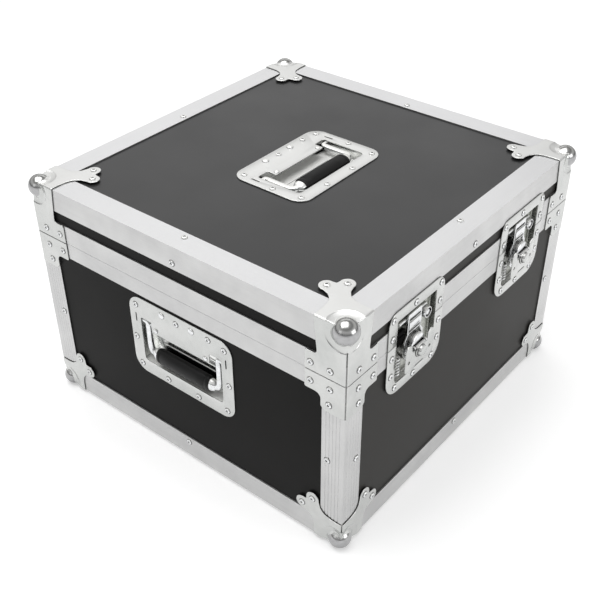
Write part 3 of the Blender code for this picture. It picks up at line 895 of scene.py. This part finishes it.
def bail(side, axis, body):
    """The steel bail: flat polished arms, round pivots and a bar through the grip."""
    half = [((-66.0, 0, 0), 0.75, 1.0), ((-59.5, 0, 0), 0.75, 1.0), ((-57.0, -0.7, 0), 0.95, 1.0)]
    half += [((-56.2, -3.0, 0), 1.1, 0.9), ((-56.2, -10, 0), 1.15, 0.85), ((-56.2, -30, 0), 1.15, 0.85)]
    half += [((-55.6, -38.5, 0), 1.15, 0.95), ((-53.4, -42.6, 0), 1.1, 1.1), ((-49.0, -ARM, 0), 1.0, 1.15)]
    half += [((-46.0, -ARM, 0), 0.8, 1.05)]
    path = half + [((-u, v, w), a, b) for (u, v, w), a, b in reversed(half)]
    mesh = merged([strap(path, 3.5, 3.0), ferrule(-1), ferrule(1)])
    finish_mesh("handle_bail_bar_" + side, mesh, axis, STEEL, body, 60, ("handle_bail_" + side,))


def oval_roll(stations, high, deep, steps):
    """A roll along u round the middle of the grip, from (u, share of its thickness) stations."""
    angles = [2 * math.pi * k / steps for k in range(steps)]
    rings = []
    for u, size in stations:
        rings.append([(u, -ARM + high * size * math.cos(a), deep * size * math.sin(a)) for a in angles])
    return loft(rings, True, True)


def ferrule(way):
    """The rounded steel cap between an arm and the rubber."""
    stations = [(38.0, 0.6), (38.6, 0.86), (41.0, 0.95), (45.0, 0.9), (48.5, 0.72), (50.6, 0.45), (51.2, 0.2)]
    return oval_roll([(way * u, size) for u, size in stations], 9.5, 6.6, 24)


def grip(side, axis, body):
    """The rubber grip: an oval roll with rounded ends and two moulded grooves."""
    half_length = 43.0
    end = [(-1.0, 0.62), (-0.995, 0.76), (-0.985, 0.86), (-0.965, 0.93), (-0.94, 0.97), (-0.91, 1.0)]
    end += [(-0.86, 1.0), (-0.85, 0.965), (-0.835, 0.965), (-0.825, 1.0)]
    stations = end + [(-0.5, 1.0), (0.0, 1.01), (0.5, 1.0)] + [(-t, size) for t, size in reversed(end)]
    mesh = oval_roll([(t * half_length, size) for t, size in stations], 10.9, 7.6, 40)
    finish_mesh("handle_rubber_" + side, mesh, axis, RUBBER, body, 40, ("handle_grip_" + side,))


def handles():
    handle("left", left_frame(0, SIDE_HANDLE_Z), "base", "handle_left")
    handle("right", right_frame(0, SIDE_HANDLE_Z), "base", "handle_right")
    handle("top", top_frame(0, 0), "lid", "handle_top")


# ---- latches ------------------------------------------------------------------------------
LATCH_HALF = 52.5                        # half width of the latch's plates
OPEN_HALF = 37.0                         # half width of the opening in them
JOINT_GAP = 0.4                          # from the joint to the edge of each plate
POCKET_W = -6.8                          # floor of the pockets
DRUM_V = -18.0
WING_W = 7.4                             # the pin the wing folds on
KNOB_V = -7.0                            # middle of the wing's knob, from that pin
BOSS = (23.0, 8.0)
KEEPER_RIVETS = ((-45, 36), (-4, 37), (45, 36), (-45, 12), (45, 12))
LATCH_RIVETS = ((-45, -14), (45, -14), (-45, -38), (45, -38), (-36, -58.5), (0, -61), (36, -58.5))


def pocket(name, place, low, high, radii, open_edge, body):
    """A shallow pressed pocket with a filleted floor, open at the joint."""
    outline = rounded(low, high, radii, 6)
    at_joint = [abs(v - open_edge) < 0.01 for _, v in outline]
    lip, fillet = 0.4, 2.0
    bm = bmesh.new()
    rings = []
    for back, up in ((0.0, lip - POCKET_W), (0.0, fillet), (0.25, 1.1), (0.7, 0.45), (fillet, 0.0)):
        ring = inset(outline, back) if back else outline
        points = [(u, open_edge if joint else v) for (u, v), joint in zip(ring, at_joint)]
        rings.append([bm.verts.new((u, v, POCKET_W + up)) for u, v in points])
    for a, b in zip(rings, rings[1:]):
        for i in range(len(a)):
            j = (i + 1) % len(a)
            if not (at_joint[i] and at_joint[j]):
                bm.faces.new((a[i], a[j], b[j], b[i]))
    bm.faces.new(rings[-1])
    mesh = solidified(mesh_as_is(bm), 0.9)
    finish_mesh(name, mesh, place, POCKET, body, 50)


def latch_flange():
    """The plate on the base: a deep U round the pocket, open at the joint."""
    gap, half = -JOINT_GAP, LATCH_HALF - 22
    points = arc((-half, -45.5), 22, 180, 270, 12) + arc((half, -45.5), 22, 270, 360, 12)
    points += [(LATCH_HALF, gap), (OPEN_HALF, gap)]
    points += arc((OPEN_HALF - 8, -47), 8, 360, 270, 6) + arc((-OPEN_HALF + 8, -47), 8, 270, 180, 6)
    points += [(-OPEN_HALF, gap), (-LATCH_HALF, gap)]
    return plate(points, LIFT, SKIN, 0.45)


def keeper_flange():
    """The plate on the lid, the other way up."""
    gap, half = JOINT_GAP, LATCH_HALF - 14
    points = [(-LATCH_HALF, gap), (-OPEN_HALF, gap)] + arc((-OPEN_HALF + 2, 28.2), 2, 180, 90, 3)
    points += arc((OPEN_HALF - 2, 28.2), 2, 90, 0, 3) + [(OPEN_HALF, gap), (LATCH_HALF, gap)]
    points += arc((half, 29.5), 14, 0, 90, 8) + arc((-half, 29.5), 14, 90, 180, 8)
    return plate(points[::-1], LIFT, SKIN, 0.45)


def keeper(side, place):
    node = "latch_keeper_" + side
    finish_mesh("keeper_plate_" + side, keeper_flange(), place, ZINC, "lid", 32, (node,))
    low, high = (-OPEN_HALF, JOINT_GAP), (OPEN_HALF, 30.2)
    pocket("keeper_pocket_" + side, place, low, high, (0, 0, 2, 2), JOINT_GAP, "lid")
    section = rounded((14.5, POCKET_W + 0.1), (18.0, -3.2), (0.2, 0.2, 1.2, 1.2), 3)
    bar = loft([[(u, v, w) for v, w in section] for u in (-26, 26)], True, True)
    finish_mesh("keeper_bar_" + side, bar, place, STEEL, "lid", 40)
    profile = [(7.0, POCKET_W), (7.0, 0.4), (6.5, 1.2), (5.6, 1.2), (5.2, -1.6)]
    profile += [(3.5, -1.7), (3.4, 0.4), (2.4, 0.9), (0.01, 0.9)]
    finish_mesh("keeper_boss_" + side, turned(profile, 28), shift(place, *BOSS), STEEL, "lid", 35)
    # a near-black disc in the boss's hollow: painted shade
    well = disc(5.35, -1.2, 0.3, 28)
    finish_mesh("keeper_boss_well_" + side, well, shift(place, *BOSS), PAINTED_SHADE_FILL, "lid", 35)


def latch(side, x):
    place = front_frame(x, PARTING)
    node = "latch_dish_" + side
    finish_mesh("latch_plate_" + side, latch_flange(), place, ZINC, "base", 32, (node,))
    low, high = (-OPEN_HALF, -55), (OPEN_HALF, -JOINT_GAP)
    pocket("latch_pocket_" + side, place, low, high, (8, 8, 0, 0), -JOINT_GAP, "base")
    keeper(side, place)
    # near-black sheets behind the openings at the joint: painted shade
    for body, low, high in (("base", -12.3, -0.9), ("lid", 0.9, 6.5)):
        gap = plate(rounded((-36, low), (-15, high), (0.5,) * 4, 2), -6.0, -3.4, 0.3)
        finish_mesh("latch_gap_" + body + "_" + side, gap, place, PAINTED_SHADE_FILL, body, 35)
    finish_mesh("latch_spring_" + side, coil(), shift(place, -31.0, -22, -1.4), STEEL, "base", 60)
    for body, spots in (("lid", KEEPER_RIVETS), ("base", LATCH_RIVETS)):
        for u, v in spots:
            rivet(body, place, u, v, SKIN)

    centre = shift(place, 0, DRUM_V)
    cam(side, centre)
    wing(side, shift(centre, 0, 0, WING_W))
    hook(side, centre)


def coil():
    """A return spring: a wire wound down from the origin."""
    path = bpy.data.curves.new("coil", "CURVE")
    path.dimensions = "3D"
    path.bevel_depth = 0.9
    path.bevel_resolution = 2
    path.use_fill_caps = True
    line = path.splines.new("POLY")
    steps, turns, length = 14, 6, 24.0
    line.points.add(steps * turns)
    for k, point in enumerate(line.points):
        angle = 2 * math.pi * k / steps
        v = -length * k / (steps * turns)
        point.co = (3.6 * math.cos(angle), v, 3.6 * math.sin(angle), 1)
    return evaluated(link(path))


def rod(half_length, radius, steps, w=0.0):
    """A round bar along u."""
    section = circle((0, w), radius, steps)
    return loft([[(u, a, b) for a, b in section] for u in (-half_length, half_length)], True, True)


def cam(side, centre):
    """The cam: stepped drum, hub and the two lugs that carry the wing's pin."""
    profile = [(12.9, POCKET_W + 0.3), (12.9, -3.4), (12.4, -2.9), (10.6, -2.7), (10.3, -2.2), (10.3, 1.2)]
    profile += [(11.8, 1.4), (12.6, 2.0), (12.7, 4.2), (12.2, 4.9), (11.4, 5.3), (0.01, 5.4)]
    parts = [turned(profile, 48)]
    for u in (-10.7, 10.7):
        outline = rounded((-1.8, 4.5), (1.8, 9.0), (0.01, 0.01, 1.7, 1.7), 5)
        ends = [[(u + d, v, w) for v, w in outline] for d in (-1.25, 1.25)]
        parts.append(loft(ends, True, True))
    parts.append(rod(11, 0.8, 12, WING_W))
    node = "latch_cam_" + side
    finish_mesh("latch_drum_" + side, merged(parts), centre, STEEL, "cam_" + side, 35, (node,))


def wing(side, pivot):
    """The butterfly key: a pressed plate with two lobes and a round knob, rolled round the pin."""
    half = [(-8.6, -2.8), (-13.5, -3.3), (-15.2, 5.0), (-18.4, 7.8)] + arc((-20.5, 3.0), 6.3, 100, 180, 6)
    half += [(-27, -10)] + arc((-20.0, -21), 7.0, 180, 270, 8) + [(-12.5, -28.5), (-7.0, -24.5)]
    outline = half + [(-u, v) for u, v in reversed(half)]
    holes = [circle((u, -14), 2.1, 16) for u in (-20, 20)]
    half_thick = 0.6
    neck = block((-8.6, -3.4, -half_thick), (8.6, 0.0, half_thick))
    profile = [(8.3, 0.3), (8.3, 1.4), (7.7, 2.0), (6.6, 2.1)]
    profile += [(6.4, 4.4), (5.7, 5.5), (4.2, 6.1), (0.01, 6.3)]
    knob = turned(profile, 32)
    knob.transform(Matrix.Translation((0, KNOB_V, 0)))
    body = "wing_" + side
    # dark discs at the knob's foot and step: painted shadow lines
    for name, radius, low in (("rim", 8.9, 0.5), ("step", 7.5, 1.9)):
        line = disc(radius, low, 0.25, 32)
        finish_mesh("latch_knob_%s_%s" % (name, side), line, shift(pivot, 0, KNOB_V), PAINTED_SHADOW_LINE, body, 32)
    parts = [plate(outline, -half_thick, half_thick, 0.35, holes), rod(8.7, 1.8, 16), neck, knob]
    finish_mesh("latch_key_" + side, merged(parts), pivot, ZINC, body, 32, ("latch_wing_" + side,))


def hook(side, centre):
    """The hook plate: a ring round the drum and a ribbed tongue up into the keeper."""
    outline = [(-17.5, -8)] + arc((0, -7), 17.5, 180, 360, 16)[1:-1] + [(17.5, -8), (17.5, 8)]
    outline += [(13, 14), (13, 38.5)] + arc((10.5, 38.5), 2.5, 0, 90, 4)[1:]
    outline += arc((-10.5, 38.5), 2.5, 90, 180, 4) + [(-13, 14), (-17.5, 8)]
    window = arc((0, -6.5), 13.4, 180, 360, 18) + arc((0, 0), 13.4, 0, 180, 18)
    slots = [rounded((-10.8, v), (10.8, v + 3.0), (0.9,) * 4, 3) for v in (16.6, 31.6)]
    parts = [plate(outline, -2.7, -0.9, 0.4, [window] + slots)]
    parts.append(plate(rounded((-11.5, 20.5), (11.5, 30.5), (1,) * 4, 3), -1.2, 0.2, 0.5))
    node = "latch_hook_" + side
    finish_mesh("latch_claw_" + side, merged(parts), centre, STEEL, "hook_" + side, 32, (node,))


def latches():
    latch("left", -LATCH_X)
    latch("right", LATCH_X)


# ---- hinges, edging and panels ----------------------------------------------------------------
def soften(obj, width, angle=40.0):
    for face in obj.data.polygons:
        face.use_smooth = True
    change = obj.modifiers.new("soft_edges", "BEVEL")
    change.width = width * MM
    change.segments = 2
    change.limit_method = "ANGLE"
    change.angle_limit = math.radians(angle)
    change.harden_normals = True


def paint(obj, made):
    for slot in obj.material_slots:
        slot.material = made
    if not obj.material_slots:
        obj.data.materials.append(made)


def paint_nodes():
    """Materials and softened edges for the nodes that show as they are."""
    for name, obj in NODES.items():
        if "panel" in name:
            paint(obj, LAMINATE)
            soften(obj, 0.5)
        elif "_edge_" in name:
            paint(obj, ALUMINIUM["y" if name.endswith(("left", "right")) else "x"])
            soften(obj, 1.0, 70.0)
        elif "upright" in name:
            paint(obj, ALUMINIUM["z"])
            soften(obj, 1.0, 70.0)
        elif name in ("base_rim", "lid_rim"):
            paint(obj, ALUMINIUM["x"])
        elif name.startswith("hinge"):
            paint(obj, ZINC)
            soften(obj, 0.3)


def edging_rivets():
    """Rivets along the middles of the edging, on the uprights and on the hinge leaves."""
    for place in (front_frame(0, 0), back_frame(0, 0), left_frame(0, 0), right_frame(0, 0)):
        rivet("lid", place, 0, TOP - EDGE_RIVET, 0.0)
        rivet("base", place, 0, BOTTOM + EDGE_RIVET, 0.0)
    above_middle = 16.0
    upright_z = (PARTING - RIM_BAND + BOTTOM) / 2 + above_middle
    for sx, sy in CORNERS:
        for make, edge, inward in side_frames(sx, sy):
            rivet("base", make(edge, upright_z), inward * EDGE_RIVET, 0, 0.0)
    x, y = HALF_WIDTH - EDGE_RIVET, HALF_DEPTH - EDGE_RIVET
    for spot in ((0, y), (0, -y), (x, 0), (-x, 0)):
        rivet("lid", top_frame(*spot), 0, 0, 0.0)
        rivet("base", bottom_frame(*spot), 0, 0, 0.0)
    for x in (-abs(HINGE_X), abs(HINGE_X)):
        place = back_frame(x, PARTING)
        for u in (-22, 0, 22):
            rivet("base", place, u, -13, SKIN)
            rivet("lid", place, u, 15, SKIN)


def rivet_pieces():
    for body, meshes in rivets.items():
        finish_mesh("rivets_" + body, merged(meshes), WORLD, STEEL, body, 40)
        # the dark discs under the rivet heads: painted shadow lines
        finish_mesh("rivet_rings_" + body, merged(rings[body]), WORLD, PAINTED_SHADOW_LINE, body, 40)


# ---- stage ------------------------------------------------------------------------------------
def stage():
    """A pale floor that glows faintly, so that it stays white round the case."""
    bm = bmesh.new()
    bmesh.ops.create_grid(bm, x_segments=1, y_segments=1, size=12.0)
    floor = link(mesh_as_is(bm))
    floor.name = "floor"
    pale = Nodes("pale_floor")
    pale.set(Base_Color=(0.80, 0.80, 0.80, 1), Roughness=0.9, Specular_IOR_Level=0.1)
    pale.set(Emission_Color=(1, 1, 1, 1), Emission_Strength=0.38)
    floor.data.materials.append(pale.material)


def area(name, spot, aim, size, power):
    light = bpy.data.lights.new(name, "AREA")
    light.shape = "RECTANGLE"
    light.size, light.size_y = size
    light.energy = power
    made = bpy.data.objects.new(name, light)
    made.location = spot
    made.rotation_euler = (Vector(aim) - Vector(spot)).to_track_quat("-Z", "Y").to_euler()
    bpy.context.scene.collection.objects.link(made)


def studio_world():
    """A soft studio: grey at the horizon, bright part of the way up, darker above and lighter overhead."""
    world = bpy.data.worlds.new("studio")
    world.use_nodes = True
    tree = world.node_tree
    where = tree.nodes.new("ShaderNodeTexCoord").outputs["Generated"]
    parts = tree.nodes.new("ShaderNodeSeparateXYZ")
    tree.links.new(where, parts.inputs["Vector"])
    ramp = tree.nodes.new("ShaderNodeValToRGB")
    tree.links.new(parts.outputs["Z"], ramp.inputs["Fac"])
    stops = ((0.0, 0.34), (0.12, 0.36), (0.34, 0.95), (0.50, 1.0), (0.74, 0.36), (1.0, 0.75))
    for place, value in stops[1:-1]:
        ramp.color_ramp.elements.new(place)
    for element, (place, value) in zip(ramp.color_ramp.elements, stops):
        element.position = place
        element.color = (value, value, value, 1)
    tree.links.new(ramp.outputs["Color"], tree.nodes["Background"].inputs["Color"])
    tree.nodes["Background"].inputs["Strength"].default_value = 0.75
    bpy.context.scene.world = world


def lights():
    studio_world()
    area("top_box", (-0.3, 0.4, 2.6), (0, 0, 0.2), (2.2, 2.2), 43)
    area("back_box", (2.2, 1.9, 2.1), (0, 0, 0.25), (2.6, 1.6), 5)
    area("front_box", (0.2, -2.3, 0.9), (-0.1, 0, 0.15), (1.4, 1.0), 12)
    area("left_box", (-2.6, 0.5, 1.1), (0, 0, 0.15), (1.0, 1.0), 2)
    scene = bpy.context.scene
    scene.view_settings.view_transform = "Standard"
    scene.view_settings.look = "None"
    scene.view_settings.exposure = 0.0


def camera():
    """The viewing angle: from above the front left corner, at a distance in case widths."""
    width = 2 * HALF_WIDTH * MM
    eye = Vector((-1.7166, -1.3619, 1.8131)) * width + Vector((0, 0, BOTTOM * MM))
    ahead = Vector((0.6282, 0.5098, -0.5877)).normalized()
    right = Vector((0.628, -0.7782, -0.0037))
    right = (right - ahead * right.dot(ahead)).normalized()
    up = right.cross(ahead)
    lens = bpy.data.cameras.new("camera")
    lens.sensor_width = 36.0
    lens.lens = 57.26
    lens.clip_start, lens.clip_end = 0.01, 50
    made = bpy.data.objects.new("camera", lens)
    made.matrix_world = Matrix.Translation(eye) @ Matrix((right, up, -ahead)).transposed().to_4x4()
    bpy.context.scene.collection.objects.link(made)
    bpy.context.scene.camera = made


corners()
handles()
latches()
paint_nodes()
edging_rivets()
rivet_pieces()
stage()
lights()
camera()
